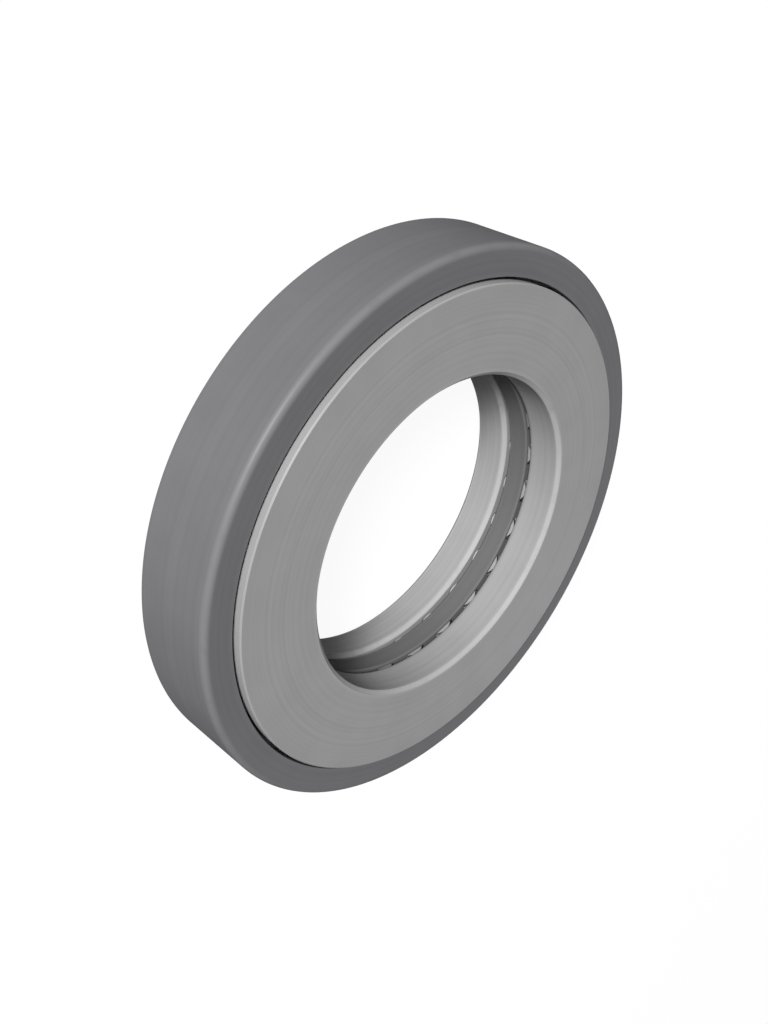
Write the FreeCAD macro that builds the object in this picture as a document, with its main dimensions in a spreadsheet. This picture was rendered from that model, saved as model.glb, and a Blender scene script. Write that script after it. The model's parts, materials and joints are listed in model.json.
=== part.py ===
import FreeCAD, Part
import math
import os

import Sketcher

# Needle thrust bearing for a 25 mm shaft, all sizes in millimetres.
#
# The row frame has its origin on the bearing's axis, in the back face of the housing washer, on which
# the bearing lies. +Z is the axis and points to the load face of the shaft washer. A roller lies on +X.
#
# From the back to the front the bearing is: the housing washer, pressed into the back of the housing;
# the cage with its radial rollers, which run on the two washers; and the shaft washer, whose shoulder
# turns behind the housing's lip, so that the bearing stays together when it is lifted.

# Each size that can be set by itself: name, value and what it is.
SIZES = (
    ("bore_diameter", 25, "bore of both washers"),
    ("bore_chamfer", 0.3, "chamfer at the ends of the washers' bores"),
    ("bore_rounding", 0.4, "rounding of the shaft washer's bore on the side of the rollers"),
    ("edge_break", 0.1, "broken edge round the outside of each washer"),
    ("shaft_washer_thickness", 3.1, "from its race to its load face"),
    ("shaft_washer_proud", 0.42, "how far the shaft washer stands out of the lip"),
    ("housing_washer_thickness", 3, "from its back face to its race"),
    ("housing_washer_proud", 1.7, "how far the housing washer stands out of the housing's back"),
    ("roller_count", 24, "rollers in the cage"),
    ("roller_diameter", 2.5, "needle roller"),
    ("roller_length", 5.8, "needle roller, from end to end"),
    ("roller_chamfer", 0.1, "chamfer at both ends of a roller"),
    ("roller_play", 0.01, "running gap between a roller and each race"),
    ("cage_thickness", 1.75, "along the axis"),
    ("cage_lift", 0.06, "how far the middle of the cage lies above the rollers' axes"),
    ("cage_bore_gap", 0.1, "how far the cage's bore stands back from the shaft"),
    ("cage_inner_rim", 0.25, "solid rim inside the pockets"),
    ("cage_outer_rim", 0.65, "solid rim outside the pockets"),
    ("cage_chamfer", 0.12, "chamfer of both rims"),
    ("pocket_gap", 0.1, "clearance round a roller"),
    ("end_gap", 0.15, "clearance between each end of a roller and its pocket"),
    ("cage_gap", 0.4, "gap between the cage and the housing"),
    ("housing_wall", 1.5, "round the cage"),
    ("housing_fillet", 0.5, "round the front outer edge"),
    ("lip_thickness", 1, "along the axis"),
    ("lip_reach", 0.75, "how far the lip reaches in from the housing's inner wall"),
    ("lip_gap", 0.25, "gap between the lip and the shaft washer's nose"),
    ("shoulder_gap", 0.25, "gap between the housing and the shaft washer's shoulder"),
    ("shoulder_play", 0.2, "how far the shaft washer lifts before its shoulder meets the lip"),
    ("seat_step", 0.4, "how far the housing washer's seat is cut into the housing's wall"),
    ("seat_gap", 0.01, "between the housing washer's rim and its seat"),
    ("heel_step", 1.4, "from the seat in to the part of the housing washer that stands out"),
)

# What follows from the sizes, from the bore outwards and from the back face up.
PLACES = (
    ("bore_radius", "Sizes.bore_diameter / 2"),
    ("cage_inner", "bore_radius + Sizes.cage_bore_gap"),
    ("pocket_inner", "cage_inner + Sizes.cage_inner_rim"),
    ("roller_inner", "pocket_inner + Sizes.end_gap"),
    ("roller_outer", "roller_inner + Sizes.roller_length"),
    ("pocket_outer", "roller_outer + Sizes.end_gap"),
    ("cage_outer", "pocket_outer + Sizes.cage_outer_rim"),
    ("chamber_radius", "cage_outer + Sizes.cage_gap"),
    ("housing_radius", "chamber_radius + Sizes.housing_wall"),
    ("lip_radius", "chamber_radius - Sizes.lip_reach"),
    ("nose_radius", "lip_radius - Sizes.lip_gap"),
    ("shoulder_radius", "chamber_radius - Sizes.shoulder_gap"),
    ("seat_radius", "chamber_radius + Sizes.seat_step"),
    ("rim_radius", "seat_radius - Sizes.seat_gap"),
    ("heel_radius", "seat_radius - Sizes.heel_step"),
    ("roller_radius", "Sizes.roller_diameter / 2"),
    ("pocket_radius", "roller_radius + Sizes.pocket_gap"),
    ("lower_race", "Sizes.housing_washer_thickness"),
    ("roller_axis", "lower_race + Sizes.roller_play + roller_radius"),
    ("upper_race", "roller_axis + roller_radius + Sizes.roller_play"),
    ("cage_bottom", "roller_axis + Sizes.cage_lift - Sizes.cage_thickness / 2"),
    ("cage_top", "cage_bottom + Sizes.cage_thickness"),
    ("load_face", "upper_race + Sizes.shaft_washer_thickness"),
    ("lip_top", "load_face - Sizes.shaft_washer_proud"),
    ("lip_underside", "lip_top - Sizes.lip_thickness"),
    ("shoulder_top", "lip_underside - Sizes.shoulder_play"),
    ("housing_back", "Sizes.housing_washer_proud"),
)

# The name of the height of the back face, which is where the sketches' horizontal axis lies.
BACK_FACE = "back_face"

SAME_PLACE = 1e-6


def make_sheet(doc):
    """The driving sizes, one to a row: name, value under the name's alias, and what it is."""
    sheet = doc.addObject("Spreadsheet::Sheet", "Sizes")
    for row, (name, value, meaning) in enumerate(SIZES, start=1):
        sheet.set(f"A{row}", name)
        sheet.set(f"B{row}", str(value))
        sheet.set(f"C{row}", meaning)
        sheet.setAlias(f"B{row}", name)
    doc.recompute()
    return sheet


def make_places(doc):
    """The radii and heights that the pieces share, each worked out from the sheet."""
    places = doc.addObject("App::VarSet", "Places")
    for name, expression in PLACES:
        places.addProperty("App::PropertyFloat", name, "Places")
        places.setExpression(name, expression)
    doc.recompute()
    return places


def origin_feature(body, role):
    """One of the body's own origin planes or axes."""
    return next(item for item in body.Origin.OriginFeatures if item.Role == role)


def new_body(doc, name):
    body = doc.addObject("PartDesign::Body", name)
    body.Label = name
    return body


def new_sketch(body, name, plane):
    sketch = body.newObject("Sketcher::SketchObject", name)
    sketch.AttachmentSupport = [(origin_feature(body, plane), "")]
    sketch.MapMode = "FlatFace"
    return sketch


def bind(sketch, constraint, name, expression):
    """Adds a constraint to the sketch under a name and ties it to an expression."""
    index = sketch.addConstraint(constraint)
    sketch.renameConstraint(index, name)
    sketch.setExpression(f"Constraints.{name}", expression)


def turned_ring(body, places, name, corners):
    """Turns a ring from its section: corners are (radius, height) names, one changing at a time."""
    sketch = new_sketch(body, f"{name}_section", "XZ_Plane")

    def point(corner):
        radius, height = corner
        level = 0 if height == BACK_FACE else getattr(places, height)
        return FreeCAD.Vector(getattr(places, radius), level, 0)

    ends = corners[1:] + corners[:1]
    for start, end in zip(corners, ends):
        sketch.addGeometry(Part.LineSegment(point(start), point(end)), False)
    for line, (start, end) in enumerate(zip(corners, ends)):
        sketch.addConstraint(Sketcher.Constraint("Coincident", line, 2, (line + 1) % len(corners), 1))
        if start[0] == end[0]:
            sketch.addConstraint(Sketcher.Constraint("Vertical", line))
            across = Sketcher.Constraint("DistanceX", -1, 1, line, 1, point(start).x)
            bind(sketch, across, start[0], f"Places.{start[0]}")
        elif start[1] == BACK_FACE:
            sketch.addConstraint(Sketcher.Constraint("Horizontal", line))
            sketch.addConstraint(Sketcher.Constraint("PointOnObject", line, 1, -1))
        else:
            sketch.addConstraint(Sketcher.Constraint("Horizontal", line))
            up = Sketcher.Constraint("DistanceY", -1, 1, line, 1, point(start).y)
            bind(sketch, up, start[1], f"Places.{start[1]}")
    ring = body.newObject("PartDesign::Revolution", f"{name}_ring")
    ring.Profile = sketch
    ring.ReferenceAxis = (sketch, ["V_Axis"])
    ring.Angle = 360
    body.Document.recompute()
    return ring


def edges_on_axis(feature, places, rings):
    """Names of the feature's circular edges about the Z axis at the named (radius, height) pairs."""
    found = []
    for radius, height in rings:
        level = 0 if height == BACK_FACE else getattr(places, height)
        for number, edge in enumerate(feature.Shape.Edges, start=1):
            curve = edge.Curve
            if not isinstance(curve, Part.Circle):
                continue
            centre = curve.Center
            same_radius = abs(curve.Radius - getattr(places, radius)) < SAME_PLACE
            on_axis = math.hypot(centre.x, centre.y) < SAME_PLACE
            if same_radius and on_axis and abs(centre.z - level) < SAME_PLACE:
                found.append(f"Edge{number}")
    if not found:
        raise RuntimeError(f"no edge of {feature.Label} lies at {rings}")
    return found


def dress_edges(body, kind, name, base, edges, size):
    """Breaks or rounds edges of the body's last feature."""
    feature = body.newObject(kind, name)
    feature.Base = (base, edges)
    parameter = "Radius" if kind == "PartDesign::Fillet" else "Size"
    feature.setExpression(parameter, f"Sizes.{size}")
    body.Document.recompute()
    return feature


def make_housing(doc, places):
    """Turned ring with the lip in front, the chamber for cage and shoulder, and the seat behind."""
    body = new_body(doc, "housing")
    ring = turned_ring(body, places, "housing", [
        ("lip_radius", "lip_top"),
        ("housing_radius", "lip_top"),
        ("housing_radius", "housing_back"),
        ("seat_radius", "housing_back"),
        ("seat_radius", "lower_race"),
        ("chamber_radius", "lower_race"),
        ("chamber_radius", "lip_underside"),
        ("lip_radius", "lip_underside"),
    ])
    front = edges_on_axis(ring, places, [("housing_radius", "lip_top")])
    dress_edges(body, "PartDesign::Fillet", "front_edge", ring, front, "housing_fillet")
    return body


def make_housing_washer(doc, places):
    """The washer that stays with the housing: its rim lies in the seat, its heel stands out behind."""
    body = new_body(doc, "housing_washer")
    ring = turned_ring(body, places, "housing_washer", [
        ("bore_radius", BACK_FACE),
        ("heel_radius", BACK_FACE),
        ("heel_radius", "housing_back"),
        ("rim_radius", "housing_back"),
        ("rim_radius", "lower_race"),
        ("bore_radius", "lower_race"),
    ])
    bore = edges_on_axis(ring, places, [("bore_radius", BACK_FACE), ("bore_radius", "lower_race")])
    chamfered = dress_edges(body, "PartDesign::Chamfer", "bore_chamfers", ring, bore, "bore_chamfer")
    heel = edges_on_axis(chamfered, places, [("heel_radius", BACK_FACE)])
    dress_edges(body, "PartDesign::Chamfer", "heel_edge", chamfered, heel, "edge_break")
    return body


def make_shaft_washer(doc, places):
    """The washer that turns with the shaft: its nose fills the lip, its shoulder runs behind it."""
    body = new_body(doc, "shaft_washer")
    ring = turned_ring(body, places, "shaft_washer", [
        ("bore_radius", "upper_race"),
        ("shoulder_radius", "upper_race"),
        ("shoulder_radius", "shoulder_top"),
        ("nose_radius", "shoulder_top"),
        ("nose_radius", "load_face"),
        ("bore_radius", "load_face"),
    ])
    entry = edges_on_axis(ring, places, [("bore_radius", "load_face")])
    entered = dress_edges(body, "PartDesign::Chamfer", "bore_entry", ring, entry, "bore_chamfer")
    inside = edges_on_axis(entered, places, [("bore_radius", "upper_race")])
    rounded = dress_edges(body, "PartDesign::Fillet", "bore_race_side", entered, inside, "bore_rounding")
    outside = edges_on_axis(rounded, places, [
        ("nose_radius", "load_face"),
        ("shoulder_radius", "shoulder_top"),
        ("shoulder_radius", "upper_race"),
    ])
    dress_edges(body, "PartDesign::Chamfer", "outer_edges", rounded, outside, "edge_break")
    return body


def roller_circle(sketch, places, radius):
    """A circle about the roller's axis, in a sketch on the plane across +X."""
    axis_height = places.roller_axis
    size = getattr(places, radius)
    centre = FreeCAD.Vector(0, axis_height, 0)
    circle = sketch.addGeometry(Part.Circle(centre, FreeCAD.Vector(0, 0, 1), size), False)
    sketch.addConstraint(Sketcher.Constraint("PointOnObject", circle, 3, -2))
    up = Sketcher.Constraint("DistanceY", -1, 1, circle, 3, axis_height)
    bind(sketch, up, "axis_height", "Places.roller_axis")
    bind(sketch, Sketcher.Constraint("Radius", circle, size), "radius", f"Places.{radius}")


def make_cage(doc, sheet, places):
    """Ring with a round radial pocket for each roller, narrower at both faces than the roller."""
    body = new_body(doc, "cage")
    ring = turned_ring(body, places, "cage", [
        ("cage_inner", "cage_bottom"),
        ("cage_outer", "cage_bottom"),
        ("cage_outer", "cage_top"),
        ("cage_inner", "cage_top"),
    ])
    rims = edges_on_axis(ring, places, [
        (radius, height)
        for radius in ("cage_inner", "cage_outer")
        for height in ("cage_bottom", "cage_top")
    ])
    chamfered = dress_edges(body, "PartDesign::Chamfer", "rim_edges", ring, rims, "cage_chamfer")
    solid_ring = chamfered.Shape.Volume

    sketch = new_sketch(body, "pocket_section", "YZ_Plane")
    sketch.setExpression("AttachmentOffset.Base.z", "Places.pocket_inner")
    roller_circle(sketch, places, "pocket_radius")
    doc.recompute()
    pocket = body.newObject("PartDesign::Pocket", "pocket")
    pocket.Profile = sketch
    pocket.setExpression("Length", "Places.pocket_outer - Places.pocket_inner")
    pocket.Reversed = True
    doc.recompute()
    one_pocket = solid_ring - pocket.Shape.Volume

    pockets = body.newObject("PartDesign::PolarPattern", "pockets")
    pockets.Originals = [pocket]
    pockets.Axis = (origin_feature(body, "Z_Axis"), [""])
    pockets.Angle = 360
    pockets.setExpression("Occurrences", "Sizes.roller_count")
    body.Tip = pockets
    doc.recompute()

    removed = solid_ring - pockets.Shape.Volume
    if one_pocket <= 0 or abs(removed / one_pocket - sheet.roller_count) > 0.001:
        raise RuntimeError("the cage's pockets are not all cut")
    return body


def make_roller(doc, places, number):
    """One needle roller, made on +X and turned to its place in the ring of rollers."""
    name = f"roller_{number:02d}"
    body = new_body(doc, name)
    sketch = new_sketch(body, f"{name}_section", "YZ_Plane")
    sketch.setExpression("AttachmentOffset.Base.z", "Places.roller_inner")
    roller_circle(sketch, places, "roller_radius")
    doc.recompute()
    bar = body.newObject("PartDesign::Pad", f"{name}_bar")
    bar.Profile = sketch
    bar.setExpression("Length", "Sizes.roller_length")
    doc.recompute()
    ends = [
        f"Edge{index}"
        for index, edge in enumerate(bar.Shape.Edges, start=1)
        if isinstance(edge.Curve, Part.Circle)
    ]
    dress_edges(body, "PartDesign::Chamfer", f"{name}_ends", bar, ends, "roller_chamfer")
    body.Placement = FreeCAD.Placement(FreeCAD.Vector(), FreeCAD.Rotation(FreeCAD.Vector(0, 0, 1), 1))
    body.setExpression("Placement.Rotation.Angle", f"360 deg * {number - 1} / Sizes.roller_count")
    return body


def check_document(doc, bodies):
    """Stops before anything is written if an object failed or a piece isn't one sound solid."""
    for item in doc.Objects:
        if "Invalid" in item.State or "Error" in item.State:
            raise RuntimeError(f"{item.Label} did not build: {item.State}")
    for body in bodies:
        shape = body.Shape
        if shape.isNull() or not shape.isValid() or len(shape.Solids) != 1:
            raise RuntimeError(f"{body.Label} is not one sound solid")


def main():
    doc = FreeCAD.newDocument("NeedleThrustBearing")
    sheet = make_sheet(doc)
    places = make_places(doc)
    roller_count = int(sheet.roller_count)
    bodies = [
        make_housing(doc, places),
        make_housing_washer(doc, places),
        make_shaft_washer(doc, places),
        make_cage(doc, sheet, places),
    ]
    bodies += [make_roller(doc, places, number + 1) for number in range(roller_count)]
    doc.recompute()
    check_document(doc, bodies)

    os.makedirs("parts", exist_ok=True)
    for body in bodies:
        body.Shape.exportStep(f"parts/{body.Label}.step")
    print(f"housing diameter {2 * places.housing_radius:.3f}, height {places.load_face:.3f}")
    print(f"{len(bodies)} pieces, {roller_count} of them rollers")


main()
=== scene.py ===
# %% [markdown]
# A needle thrust bearing
#
# The bearing takes a push along a shaft. From the back to the front it has a still washer, a cage with
# 24 thin rollers that point at the axis, and a washer that turns with the shaft. A dark housing ring goes
# round them all, and its lip keeps the turning washer in. Every one of these pieces is turned on a lathe,
# or is round by itself, so this lesson is mostly about one tool: a section that is swept round an axis.
#
# The solids come from the imported CAD model. It is loaded first and fixes where everything is.

# %% Load the imported model
import json
import math

import bmesh
import bpy
from mathutils import Matrix, Vector


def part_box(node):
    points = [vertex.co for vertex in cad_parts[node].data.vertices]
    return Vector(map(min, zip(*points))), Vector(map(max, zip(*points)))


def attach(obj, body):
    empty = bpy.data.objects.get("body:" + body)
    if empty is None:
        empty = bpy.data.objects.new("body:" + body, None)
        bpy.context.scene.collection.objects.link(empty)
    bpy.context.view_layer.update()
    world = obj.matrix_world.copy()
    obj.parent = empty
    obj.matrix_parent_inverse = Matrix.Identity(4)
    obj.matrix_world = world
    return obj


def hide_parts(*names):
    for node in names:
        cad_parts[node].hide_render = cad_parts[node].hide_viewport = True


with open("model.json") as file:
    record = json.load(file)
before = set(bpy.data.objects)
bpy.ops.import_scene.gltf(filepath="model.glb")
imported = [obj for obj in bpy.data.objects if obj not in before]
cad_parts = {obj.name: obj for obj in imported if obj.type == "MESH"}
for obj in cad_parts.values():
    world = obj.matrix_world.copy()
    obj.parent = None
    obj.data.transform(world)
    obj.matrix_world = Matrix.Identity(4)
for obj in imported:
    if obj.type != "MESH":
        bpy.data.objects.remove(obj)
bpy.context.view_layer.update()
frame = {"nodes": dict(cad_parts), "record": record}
rollers = sorted(name for name in frame["nodes"] if name.startswith("roller_"))
print("pieces in the model:", len(frame["nodes"]), "of them rollers:", len(rollers))

# %% [markdown]
# Sizes
#
# How far each solid reaches is read from the model, and the bore from the model's record, so the looks
# follow when the model changes. All these sizes are in millimetres, and those across the axis are radii.

# %% Read what the model says
MM = 0.001


def box_in_mm(node):
    """The lowest and the highest corner of a solid, in millimetres."""
    return [[round(size / MM, 3) for size in corner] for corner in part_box(node)]


def ring(node):
    """How far a turned solid reaches from the axis, and its lower and its upper height."""
    low, high = box_in_mm(node)
    return high[0], low[2], high[2]


OUTSIDE, HOUSING_BACK, LIP_TOP = ring("housing")
SEATED, BACK_FACE, STILL_RACE = ring("housing_washer")
SHOULDER, TURNING_RACE, LOAD_FACE = ring("shaft_washer")
CAGE_RIM, CAGE_UNDER, CAGE_TOP = ring("cage")

low, high = box_in_mm(rollers[0])
ROLLER_RADIUS = high[1]
ROLLER_LENGTH = high[0] - low[0]
ROLLER_MIDDLE = (low[0] + high[0]) / 2
ROLLER_AXIS = (low[2] + high[2]) / 2

mounts = {mount["name"]: mount for mount in frame["record"]["mounts"]}
BORE = mounts["shaft_washer_bore"]["dims"]["r_mm"]
print("radius outside", OUTSIDE, "and in the bore", BORE, "height", LOAD_FACE - BACK_FACE)
print("roller radius", ROLLER_RADIUS, "length", ROLLER_LENGTH, "from the axis", ROLLER_MIDDLE)

# %% [markdown]
# A box doesn't show the steps inside a solid, nor its edges. Those are given here the way that a drawing
# for the workshop gives them, each from the face or the wall beside it: how thick the wall is, how far the
# lip reaches in, and how much room is left between two pieces.

# %% Add the steps and the edges
SEAT = SEATED + 0.01
CHAMBER = OUTSIDE - 1.5
LIP_BORE = CHAMBER - 0.75
LIP_UNDER = LIP_TOP - 1.0
NOSE = LIP_BORE - 0.25
SHOULDER_TOP = LIP_UNDER - 0.2
HEEL = SEAT - 1.4
CAGE_BORE = BORE + 0.1

ROUNDING = 0.5
RACE_ROUNDING = 0.4
CHAMFER = 0.3
CAGE_CHAMFER = 0.12
SMALL_CHAMFER = 0.1
BROKEN = 0.04
print("seat", SEAT, "chamber", CHAMBER, "lip", LIP_BORE, "nose", NOSE, "heel", HEEL)

# %% [markdown]
# The camera
#
# The picture to match is a drawing in true perspective, and its camera was worked out from the bearing's
# own circles: it looks along the corner direction of a cube, as an isometric view does, and is rolled so
# that the bearing's axis points to the lower right. A camera could be aimed with a Track To constraint, but
# a constraint can't hold a roll. Giving the three directions of the camera as the columns of a matrix says
# all of it at once. Its focal length was found in pixels, and becomes a lens in millimetres on a sensor
# that is as high as the picture. The shift is what is left over, because the middle of the picture isn't
# quite where the camera looks.

# %% Place the camera
CAMERA_PLACE = Vector((67.84, 0.01, 52.25)) * MM
CAMERA_RIGHT = Vector((-0.5, -0.5, 0.707107))
CAMERA_UP = Vector((0.288675, -0.866025, -0.408248))
CAMERA_BACK = CAMERA_RIGHT.cross(CAMERA_UP)
SHIFT_RIGHT = -0.0228
SHIFT_UP = 0.0035
NEAREST = 0.001
LONG_SIDE = 1024
FOCAL_PIXELS = 1113.31
SENSOR = 36.0

camera_data = bpy.data.cameras.new("camera")
camera_data.sensor_fit = "VERTICAL"
camera_data.sensor_height = SENSOR
camera_data.lens = FOCAL_PIXELS / LONG_SIDE * SENSOR
camera_data.shift_x = SHIFT_RIGHT
camera_data.shift_y = SHIFT_UP
camera_data.clip_start = NEAREST
camera = bpy.data.objects.new("camera", camera_data)
turn = Matrix((CAMERA_RIGHT, CAMERA_UP, CAMERA_BACK)).transposed()
camera.matrix_world = Matrix.Translation(CAMERA_PLACE) @ turn.to_4x4()
bpy.context.scene.collection.objects.link(camera)
bpy.context.scene.camera = camera
print("lens", round(camera_data.lens, 2), "mm")

# %% [markdown]
# Shader maths in plain Python
#
# A finish is a small sum: a base value, a little lay from the lathe, a little wear, which on the housing's
# crown is also a painted highlight. In the node editor a sum needs a Math node for each sign. The class
# below wraps a socket instead, so that `1 - mask * 0.3` can be written as it is, and the nodes are added
# behind it. Every other node comes from `Finish.node`.

# %% A number that lives in a node tree


class Wire:
    """The output of a node. Arithmetic on it adds Math nodes to the same finish."""

    def __init__(self, finish, socket):
        self.finish = finish
        self.socket = socket

    def maths(self, operation, *values):
        return self.finish.node("ShaderNodeMath", {"operation": operation}, values)

    def __add__(self, other):
        return self.maths("ADD", self, other)

    def __radd__(self, other):
        return self.maths("ADD", other, self)

    def __sub__(self, other):
        return self.maths("SUBTRACT", self, other)

    def __rsub__(self, other):
        return self.maths("SUBTRACT", other, self)

    def __mul__(self, other):
        return self.maths("MULTIPLY", self, other)

    def __rmul__(self, other):
        return self.maths("MULTIPLY", other, self)

    def root(self):
        return self.maths("SQRT", self)

    def at_least(self, other):
        return self.maths("MAXIMUM", self, other)

    def between(self, low, high):
        """0 up to low, 1 from high on, and a smooth step between them."""
        settings = {"interpolation_type": "SMOOTHSTEP"}
        return self.finish.node("ShaderNodeMapRange", settings, (self, low, high, 0.0, 1.0))


# %% A shader and the one method that adds nodes to it


class Finish:
    """The nodes of a material, or of the world, and the few things that a turned surface needs."""

    def __init__(self, owner, shader="Principled BSDF"):
        owner.use_nodes = True
        self.owner = owner
        self.tree = owner.node_tree
        self.shader = self.tree.nodes[shader]

    def node(self, kind, settings, values=(), output=0):
        """Adds a node, makes its settings, then gives its inputs values or links."""
        new = self.tree.nodes.new(kind)
        for name, setting in settings.items():
            setattr(new, name, setting)
        entries = values.items() if isinstance(values, dict) else enumerate(values)
        for key, value in entries:
            if isinstance(value, Wire):
                self.tree.links.new(value.socket, new.inputs[key])
            else:
                new.inputs[key].default_value = value
        return Wire(self, new.outputs[output])

    def give(self, entry, value):
        """Sets or links one input of the shader."""
        if isinstance(value, Wire):
            self.tree.links.new(value.socket, self.shader.inputs[entry])
        else:
            self.shader.inputs[entry].default_value = value

    def place(self):
        """The point on the piece in millimetres, as a vector and as its x, y and z."""
        point = self.node("ShaderNodeTexCoord", {}, output="Object")
        scaled = self.node("ShaderNodeVectorMath", {"operation": "SCALE"}, {0: point, "Scale": 1 / MM})
        return scaled, [self.node("ShaderNodeSeparateXYZ", {}, (scaled,), axis) for axis in "XYZ"]

    def vector(self, x, y, z):
        return self.node("ShaderNodeCombineXYZ", {}, (x, y, z))

    def noise(self, vector, scale, detail, roughness=0.5):
        """Noise from 0 to 1 at a vector in millimetres; scale is in cells per millimetre."""
        values = {"Vector": vector, "Scale": scale, "Detail": detail, "Roughness": roughness}
        return self.node("ShaderNodeTexNoise", {}, values)

    def attribute(self, name):
        """A number that the mesh itself carries, and 0 where it carries none."""
        return self.node("ShaderNodeAttribute", {"attribute_name": name}, output="Fac")

    def blend(self, factor, first, second):
        """One colour turning into another."""
        settings = {"data_type": "RGBA", "clamp_factor": True}
        return self.node("ShaderNodeMix", settings, {0: factor, 6: first, 7: second}, output=2)

    def bump(self, height, depth):
        """The Normal of a surface whose height, from 0 to 1, is that deep in millimetres."""
        return self.node("ShaderNodeBump", {}, {"Distance": depth * MM, "Height": height})


def grey(level, blue=1.0):
    """A linear grey, whose blue can be a little stronger or weaker than the rest."""
    return (level, level, level * blue, 1.0)


# %% [markdown]
# Four steels
#
# All four finishes are steel, and what tells them apart is how the surface was made. A tool or a grinding
# wheel leaves a lay, which runs round the axis. Seen in the section, a lay is only a wobble that depends on
# the radius and on the height, so noise is read at (radius, height) and not at (x, y, z): that turns it into
# rings on a flat face and into hoops on a cylinder, with no seam between them. On a roller, which points at
# the axis, the same rings run across it, as the marks of its own grinding do.
#
# Dark oxide rubs off where a hand or a shaft passes, as in the chamfers of the bore. The crown of the
# housing's rounding is made lighter too, partly as that wear and partly as a painted highlight along the
# rounding. Each such place is a point of the section with a reach. It could be painted into a map by hand,
# but a map has to be unwrapped first and follows no change of size.

# %% The lay of a turned or ground surface
BROKEN_UP = 0.25


def lay(finish, scale):
    """Fine rings round the axis, from 0 to 1, with faint breaks so that they don't look drawn."""
    point, (x, y, z) = finish.place()
    radius = (x * x + y * y).root()
    rings = finish.noise(finish.vector(radius, 0.0, z), scale, detail=3.0, roughness=0.6)
    breaks = finish.noise(point, scale=0.35, detail=2.0)
    return rings * (1 - BROKEN_UP + 2 * BROKEN_UP * breaks), point, radius, z


def near_edge(radius, height, edge):
    """1 on a turned edge given as (radius, height, reach) in millimetres, falling to 0 at the reach."""
    across = radius - edge[0]
    up = height - edge[1]
    return 1 - (across * across + up * up).root().between(0.0, edge[2])


# %% One steel
LAY_SHARE = 0.7
TONE_SPREAD = 0.06
ROUGHER_IN_LAY = 0.10
ROUGHER_IN_CLOUDS = 0.06
SMOOTHER_WHERE_RUBBED = 0.12
# The skin on the rollers' chamfers is near black, as dark skin and as painted shade of the pocket gaps.
SKIN_AND_SHADE_LEVEL = 0.04


def steel(name, level, metallic, roughness, lay_scale, lay_depth, edges=(), rubbed_and_highlight=0.0, blue=1.0, skin_and_shade=None):
    """Steel of a grey level with a lay, lighter at its edges from wear and, on the housing's crown, from a
    painted highlight; near black where it has the skin that is also painted shade.
    """
    finish = Finish(bpy.data.materials.new(name))
    rings, point, radius, height = lay(finish, lay_scale)
    clouds = finish.noise(point, scale=0.18, detail=3.0)
    tone = (LAY_SHARE * rings + (1 - LAY_SHARE) * clouds).between(0.25, 0.7)
    darkest = level * (1 - TONE_SPREAD)
    lightest = level * (1 + TONE_SPREAD)
    colour = finish.blend(tone, grey(darkest, blue), grey(lightest, blue))
    rough = roughness + ROUGHER_IN_LAY * (rings - 0.5) + ROUGHER_IN_CLOUDS * (clouds - 0.5)
    if edges:
        wear_and_highlight = 0.0
        for edge in edges:
            wear_and_highlight = near_edge(radius, height, edge).at_least(wear_and_highlight)
        wear_and_highlight = wear_and_highlight * finish.noise(point, scale=0.5, detail=2.0).between(0.2, 0.5)
        # On the housing's crown this lighter colour is a painted highlight as well as wear.
        colour = finish.blend(wear_and_highlight, colour, grey(rubbed_and_highlight, blue))
        rough = rough - SMOOTHER_WHERE_RUBBED * wear_and_highlight
    if skin_and_shade:
        # The skin's near black is the chamfers' dark skin and also painted shade of the gap round each
        # roller.
        colour = finish.blend(finish.attribute(skin_and_shade), colour, grey(SKIN_AND_SHADE_LEVEL))
    finish.give("Base Color", colour)
    finish.give("Metallic", metallic)
    finish.give("Specular IOR Level", 0.0)
    finish.give("Roughness", rough)
    finish.give("Normal", finish.bump(rings, lay_depth))
    return finish.owner


# %% Give each steel its numbers
FILE_REACH = 0.12
CROWN = 0.3 * ROUNDING
CROWN_REACH = 0.8 * ROUNDING
CHAMFER_REACH = 1.5 * CHAMFER
# The first edge is the crown of the rounding, made lighter as wear and as a painted highlight.
HOUSING_EDGES = (
    (OUTSIDE - CROWN, LIP_TOP - CROWN, CROWN_REACH),
    (LIP_BORE, LIP_TOP, FILE_REACH),
    (OUTSIDE, HOUSING_BACK, FILE_REACH),
    (SEAT, HOUSING_BACK, FILE_REACH),
)
CHAMFER_HEIGHTS = (BACK_FACE + CHAMFER / 2, STILL_RACE - CHAMFER / 2, LOAD_FACE - CHAMFER / 2)
WASHER_EDGES = [(BORE + CHAMFER / 2, height, CHAMFER_REACH) for height in CHAMFER_HEIGHTS]
SKIN_AND_SHADE = "unground"

FINISHES = {
    "housing_steel": steel(
        "oxidised_steel", level=0.185, metallic=0.08, roughness=0.55, lay_scale=2.2, lay_depth=0.004,
        edges=HOUSING_EDGES, rubbed_and_highlight=0.21, blue=1.045,
    ),
    "washer_steel": steel(
        "ground_steel", level=0.365, metallic=0.1, roughness=0.46, lay_scale=3.5, lay_depth=0.0015,
        edges=WASHER_EDGES, rubbed_and_highlight=0.46,
    ),
    "cage_steel": steel(
        "blued_steel", level=0.155, metallic=0.08, roughness=0.5, lay_scale=3.0, lay_depth=0.002,
    ),
    "roller_steel": steel(
        "polished_steel", level=0.44, metallic=0.2, roughness=0.32, lay_scale=6.0, lay_depth=0.0006,
        skin_and_shade=SKIN_AND_SHADE,
    ),
}
print("finishes:", [finish.name for finish in FINISHES.values()])

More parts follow.
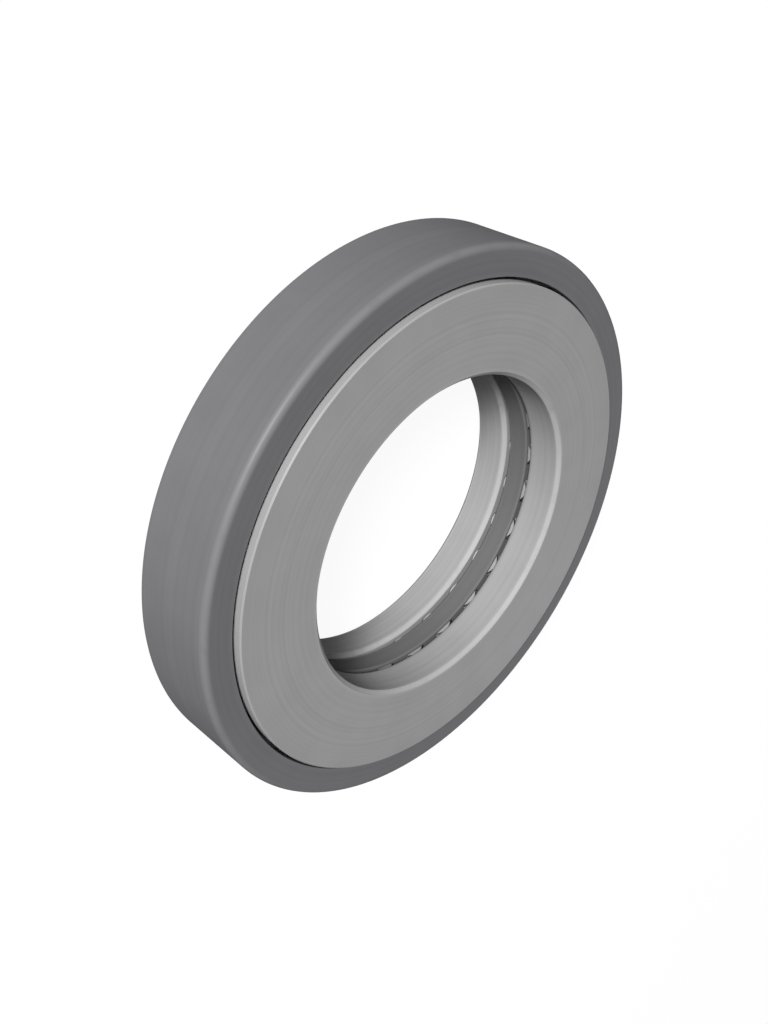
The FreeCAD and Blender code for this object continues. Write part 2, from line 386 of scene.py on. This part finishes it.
# %% [markdown]
# A section and a spin
#
# A turner thinks in sections: the outline that is left when the piece is cut along its axis. It could be
# built up from a cylinder by insets and extrusions, but each step would then have to be found again by its
# place. Here the outline is drawn once: a plane is merged to a single point, and that point is extruded
# from corner to corner. The corners are bevelled while the section is still flat, which gives true chamfers
# and roundings, and one spin makes the ring. Its 288 steps keep the outline free of corners.
#
# The work is done with one unit for a millimetre, because the operators have small fixed tolerances, and
# the finished mesh is brought down to metres in one step.

# %% Select


def alone(piece=None):
    """Object mode with nothing selected, or with one piece selected and active."""
    if bpy.context.object is not None and bpy.context.object.mode != "OBJECT":
        bpy.ops.object.mode_set(mode="OBJECT")
    bpy.ops.object.select_all(action="DESELECT")
    if piece is not None:
        piece.select_set(True)
        bpy.context.view_layer.objects.active = piece


def select_points(piece, wanted):
    """In edit mode, selects the vertices for whose place wanted(place) holds, and counts them."""
    bpy.ops.mesh.select_mode(type="VERT")
    bpy.ops.mesh.select_all(action="DESELECT")
    mesh = bmesh.from_edit_mesh(piece.data)
    count = 0
    for vertex in mesh.verts:
        if wanted(vertex.co):
            vertex.select = True
            count += 1
    mesh.select_flush_mode()
    bmesh.update_edit_mesh(piece.data)
    return count


# %% Draw a section
SAME_PLACE = 1e-4


def draw_section(name, corners):
    """A flat face in the XZ plane. A corner is (radius, height), then a bevel's width and its segments."""
    alone()
    bpy.ops.mesh.primitive_plane_add(size=1)
    piece = bpy.context.object
    piece.name = piece.data.name = name
    bpy.ops.object.mode_set(mode="EDIT")
    bpy.ops.mesh.select_mode(type="VERT")
    bpy.ops.mesh.merge(type="CENTER")
    bpy.ops.transform.translate(value=(corners[0][0], 0, corners[0][1]))
    for start, end in zip(corners, corners[1:]):
        step = (end[0] - start[0], 0, end[1] - start[1])
        bpy.ops.mesh.extrude_vertices_move(TRANSFORM_OT_translate={"value": step})
    bpy.ops.mesh.select_all(action="SELECT")
    bpy.ops.mesh.edge_face_add()
    for radius, height, *bevel in corners:
        if bevel:
            corner = Vector((radius, 0, height))
            found = select_points(piece, lambda place: (place - corner).length < SAME_PLACE)
            if found != 1:
                raise RuntimeError(f"{name}: no single corner at {tuple(corner)}")
            segments = bevel[1] if len(bevel) > 1 else 1
            bpy.ops.mesh.bevel(offset=bevel[0], segments=segments, profile=0.5, affect="VERTICES")
    return piece


# %% Spin a section and bring it down to size
STEPS = 288
SMOOTH = math.radians(20)


def spin_round(piece):
    """Sweeps the section once round the Z axis and closes the seam."""
    bpy.ops.mesh.select_all(action="SELECT")
    bpy.ops.mesh.delete(type="ONLY_FACE")
    bpy.ops.mesh.select_all(action="SELECT")
    bpy.ops.mesh.spin(steps=STEPS, angle=math.tau, center=(0, 0, 0), axis=(0, 0, 1))
    bpy.ops.mesh.select_all(action="SELECT")
    bpy.ops.mesh.remove_doubles(threshold=SAME_PLACE)
    bpy.ops.mesh.normals_make_consistent(inside=False)
    bpy.ops.object.mode_set(mode="OBJECT")


def to_metres(piece):
    """Brings a finished mesh from millimetres down to metres, and shades it smooth but for its edges."""
    alone(piece)
    bpy.ops.object.mode_set(mode="EDIT")
    bpy.ops.mesh.select_all(action="SELECT")
    bpy.ops.transform.resize(value=(MM, MM, MM), center_override=(0, 0, 0))
    bpy.ops.object.mode_set(mode="OBJECT")
    bpy.ops.object.shade_smooth_by_angle(angle=SMOOTH)


def hand_over(piece, node, body, slot):
    """The piece stands for a node of the model, moves with its body and takes the slot's finish."""
    piece.data.materials.clear()
    piece.data.materials.append(FINISHES[slot])
    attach(piece, body)
    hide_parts(node)
    triangles = sum(len(face.vertices) - 2 for face in piece.data.polygons)
    print(piece.name, "stands for", node, "with", triangles, "triangles")


# %% [markdown]
# The housing ring
#
# The housing is the dark ring outside: a wall, a lip that reaches in at the front, and a seat at the back
# into which the still washer is pressed. Its front outer edge is rounded by half a millimetre, and the
# other corners are only broken, by a few hundredths, as a turner does with a file. Those tiny flats are
# what catches the light on a real edge.
#
# A rounding runs smoothly into the faces beside it, and smooth shading would carry its bend far across
# them. An extra point close behind each end of the rounding stops that.

# %% Turn the housing ring
SUPPORT = ROUNDING + 0.1

housing = draw_section("housing_ring", (
    (LIP_BORE, LIP_TOP, BROKEN),
    (OUTSIDE - SUPPORT, LIP_TOP),
    (OUTSIDE, LIP_TOP, ROUNDING, 8),
    (OUTSIDE, LIP_TOP - SUPPORT),
    (OUTSIDE, HOUSING_BACK, 2 * BROKEN, 2),
    (SEAT, HOUSING_BACK, BROKEN),
    (SEAT, STILL_RACE),
    (CHAMBER, STILL_RACE, BROKEN),
    (CHAMBER, LIP_UNDER, BROKEN),
    (LIP_BORE, LIP_UNDER, BROKEN),
))
spin_round(housing)
to_metres(housing)
hand_over(housing, "housing", "housing", "housing_steel")

# %% [markdown]
# The two washers
#
# The still washer lies in the seat and stands out behind the housing as a heel. The turning washer fills
# the lip in front, and its shoulder runs behind the lip. Both have a 0.3 mm chamfer at the bore, except
# that the turning washer's bore is rounded on the side of the rollers.

# %% Turn the still washer
still_washer = draw_section("still_washer", (
    (BORE, BACK_FACE, CHAMFER),
    (HEEL, BACK_FACE, SMALL_CHAMFER),
    (HEEL, HOUSING_BACK),
    (SEATED, HOUSING_BACK, BROKEN),
    (SEATED, STILL_RACE, BROKEN),
    (BORE, STILL_RACE, CHAMFER),
))
spin_round(still_washer)
to_metres(still_washer)
hand_over(still_washer, "housing_washer", "housing", "washer_steel")

# %% Turn the washer that goes round with the shaft
RACE_SUPPORT = RACE_ROUNDING + 0.06

turning_washer = draw_section("turning_washer", (
    (BORE, TURNING_RACE, RACE_ROUNDING, 6),
    (BORE + RACE_SUPPORT, TURNING_RACE),
    (SHOULDER, TURNING_RACE, SMALL_CHAMFER),
    (SHOULDER, SHOULDER_TOP, SMALL_CHAMFER),
    (NOSE, SHOULDER_TOP),
    (NOSE, LOAD_FACE, SMALL_CHAMFER),
    (BORE, LOAD_FACE, CHAMFER),
    (BORE, TURNING_RACE + RACE_SUPPORT),
))
spin_round(turning_washer)
to_metres(turning_washer)
hand_over(turning_washer, "shaft_washer", "shaft_washer", "washer_steel")

# %% [markdown]
# The cage
#
# The cage is one ring with a round pocket bored along each roller. The pockets are wider than the ring is
# thick, so each opens as a slot in both faces, and the slot is narrower than the roller, which is how the
# rollers are held. The slots could be cut out as flat shapes, but then the bars between them would have
# straight sides. Cutting with real round borers gives the hollow sides by itself.

# %% Turn the cage's ring
cage = draw_section("roller_cage", (
    (CAGE_BORE, CAGE_UNDER, CAGE_CHAMFER),
    (CAGE_RIM, CAGE_UNDER, CAGE_CHAMFER),
    (CAGE_RIM, CAGE_TOP, CAGE_CHAMFER),
    (CAGE_BORE, CAGE_TOP, CAGE_CHAMFER),
))
spin_round(cage)

# %% Lay a bar along X, and copy it round the ring
PITCH = math.tau / len(rollers)
BAR_SIDES = 64
print("pitch of the rollers:", round(math.degrees(PITCH), 2), "degrees")


def bar(name, radius, length):
    """A round bar on +X at the height of the rollers, with its place in its mesh."""
    alone()
    bpy.ops.mesh.primitive_cylinder_add(
        vertices=BAR_SIDES, radius=radius, depth=length,
        location=(ROLLER_MIDDLE, 0, ROLLER_AXIS), rotation=(0, math.pi / 2, 0),
    )
    piece = bpy.context.object
    piece.name = piece.data.name = name
    bpy.ops.object.transform_apply(location=True, rotation=True, scale=True)
    return piece


def all_round(piece):
    """The bar and its copies at the other places of the ring, each with its own mesh."""
    bars = [piece]
    for number in range(1, len(rollers)):
        twin = piece.copy()
        twin.data = piece.data.copy()
        twin.data.transform(Matrix.Rotation(PITCH * number, 4, "Z"))
        bpy.context.scene.collection.objects.link(twin)
        bars.append(twin)
    return bars


# %% Make the borers
POCKET_GAP = 0.1
END_GAP = 0.15

borer = bar("borer", ROLLER_RADIUS + POCKET_GAP, ROLLER_LENGTH + 2 * END_GAP)
borers = all_round(borer)
alone(borer)
for twin in borers:
    twin.select_set(True)
bpy.ops.object.join()
print("borers:", len(borers), "faces in one tool:", len(borer.data.polygons))

# %% Take the pockets out
cut = cage.modifiers.new("pockets", "BOOLEAN")
cut.operation = "DIFFERENCE"
cut.solver = "EXACT"
cut.object = borer
alone(cage)
bpy.ops.object.modifier_apply(modifier=cut.name)
alone(borer)
bpy.ops.object.delete()
to_metres(cage)
hand_over(cage, "cage", "cage", "cage_steel")

# %% [markdown]
# The rollers
#
# A needle roller is a hardened bar with a small chamfer at both ends. Its barrel and its ends are ground
# bright, and the chamfers keep the dark skin of the furnace. That skin is made near black, so that it also
# stands as painted shade of the gap round the roller in its pocket. It is modelled once on +X, the skin is
# marked on its faces as an attribute that the finish reads, and 23 copies are turned to their places. Each
# copy has its own mesh, because each roller spins on its own axis. A face's direction tells what it is: its
# x is 0 on the barrel, 1 on an end and 0.7 on a chamfer.

# %% Chamfer one roller
first = bar("needle_01", ROLLER_RADIUS, ROLLER_LENGTH)
bpy.ops.object.mode_set(mode="EDIT")
bpy.ops.mesh.select_mode(type="EDGE")
bpy.ops.mesh.select_all(action="DESELECT")
mesh = bmesh.from_edit_mesh(first.data)
for edge in mesh.edges:
    start, end = edge.verts
    edge.select = abs(start.co.x - end.co.x) < SAME_PLACE
bmesh.update_edit_mesh(first.data)
bpy.ops.mesh.bevel(offset=SMALL_CHAMFER, segments=1, affect="EDGES")
bpy.ops.object.mode_set(mode="OBJECT")

# The marked chamfers render near black: dark skin, and painted shade of the pocket gap.
skin_and_shade = first.data.attributes.new(SKIN_AND_SHADE, "FLOAT", "FACE")
for face, mark in zip(first.data.polygons, skin_and_shade.data):
    mark.value = 1.0 if 0.5 < abs(face.normal.x) < 0.9 else 0.0
print("chamfer faces on a roller:", round(sum(mark.value for mark in skin_and_shade.data)))

# %% Copy it round
to_metres(first)
for number, (needle, node) in enumerate(zip(all_round(first), rollers), start=1):
    needle.name = needle.data.name = f"needle_{number:02d}"
    hand_over(needle, node, node, "roller_steel")

# %% [markdown]
# Floor and light
#
# The bearing lies on a pale floor in a white room. The white behind it could come from strong light, but
# that would wash out the steel. Instead the floor and the room glow, but only for the camera and for what
# shines back or shows through. The floor's own grey is lit by the lamps as the steel is, and so it keeps a
# shadow. The room glows a little more than the floor, because the lamps add nothing to it, and the floor
# ends before the lamps, behind which it would be darker: then no horizon shows between the two.
#
# One soft lamp stands behind the camera and a little lower, because the drawing is lit from there: walls
# that face the viewer are brighter than the flat faces, and the bore darkens towards its sides. A weaker
# lamp stands low on the far side. It hardly touches what the camera sees, but the housing's back would be
# black without it.

# %% Tell a direct look from the light that falls on the piece


def seen_directly(finish):
    """1 for the camera, in reflections and through glass, and 0 for the light that falls on the piece."""
    direct, mirrored, through = [
        finish.node("ShaderNodeLightPath", {}, output=f"Is {ray} Ray")
        for ray in ("Camera", "Glossy", "Transmission")
    ]
    return direct.at_least(mirrored).at_least(through)


# %% Lay the floor
FLOOR_WIDTH = 1.6
FLOOR_LEVEL = 0.1
FLOOR_GLOW = 0.94

alone()
bpy.ops.mesh.primitive_plane_add(size=FLOOR_WIDTH)
floor = bpy.context.object
floor.name = floor.data.name = "floor"

ground = Finish(bpy.data.materials.new("floor"))
ground.give("Base Color", grey(FLOOR_LEVEL))
ground.give("Roughness", 0.9)
ground.give("Specular IOR Level", 0.0)
ground.give("Emission Color", ground.blend(seen_directly(ground), grey(0.0), grey(FLOOR_GLOW)))
ground.give("Emission Strength", 1.0)
floor.data.materials.append(ground.owner)
print("floor:", [round(size, 2) for size in floor.dimensions], "metres")

# %% Light the room
ROOM_GLOW = 1.0
ROOM_LIGHT = 0.05

room = Finish(bpy.data.worlds.new("room"), "Background")
room.give("Color", grey(1.0))
room.give("Strength", ROOM_LIGHT + (ROOM_GLOW - ROOM_LIGHT) * seen_directly(room))
bpy.context.scene.world = room.owner
print("the room glows", ROOM_GLOW, "and lights the piece with", ROOM_LIGHT)

# %% Hang the lamps
LAMP_DISTANCE = 1.2


def hang_lamp(name, degrees, size, watts):
    """A soft square lamp over the X axis, turned to the bearing; degrees are counted from +X upwards."""
    angle = math.radians(degrees)
    toward_lamp = Vector((math.cos(angle), 0, math.sin(angle)))
    data = bpy.data.lights.new(name, "AREA")
    data.size = size
    data.energy = watts
    lamp = bpy.data.objects.new(name, data)
    lamp.location = toward_lamp * LAMP_DISTANCE
    lamp.rotation_euler = toward_lamp.to_track_quat("Z", "Y").to_euler()
    bpy.context.scene.collection.objects.link(lamp)
    print(name, "at", [round(value, 3) for value in lamp.location])


hang_lamp("key_lamp", degrees=28.5, size=0.3, watts=19.5)
hang_lamp("back_lamp", degrees=176, size=0.15, watts=5.5)
bpy.context.scene.view_settings.view_transform = "Standard"
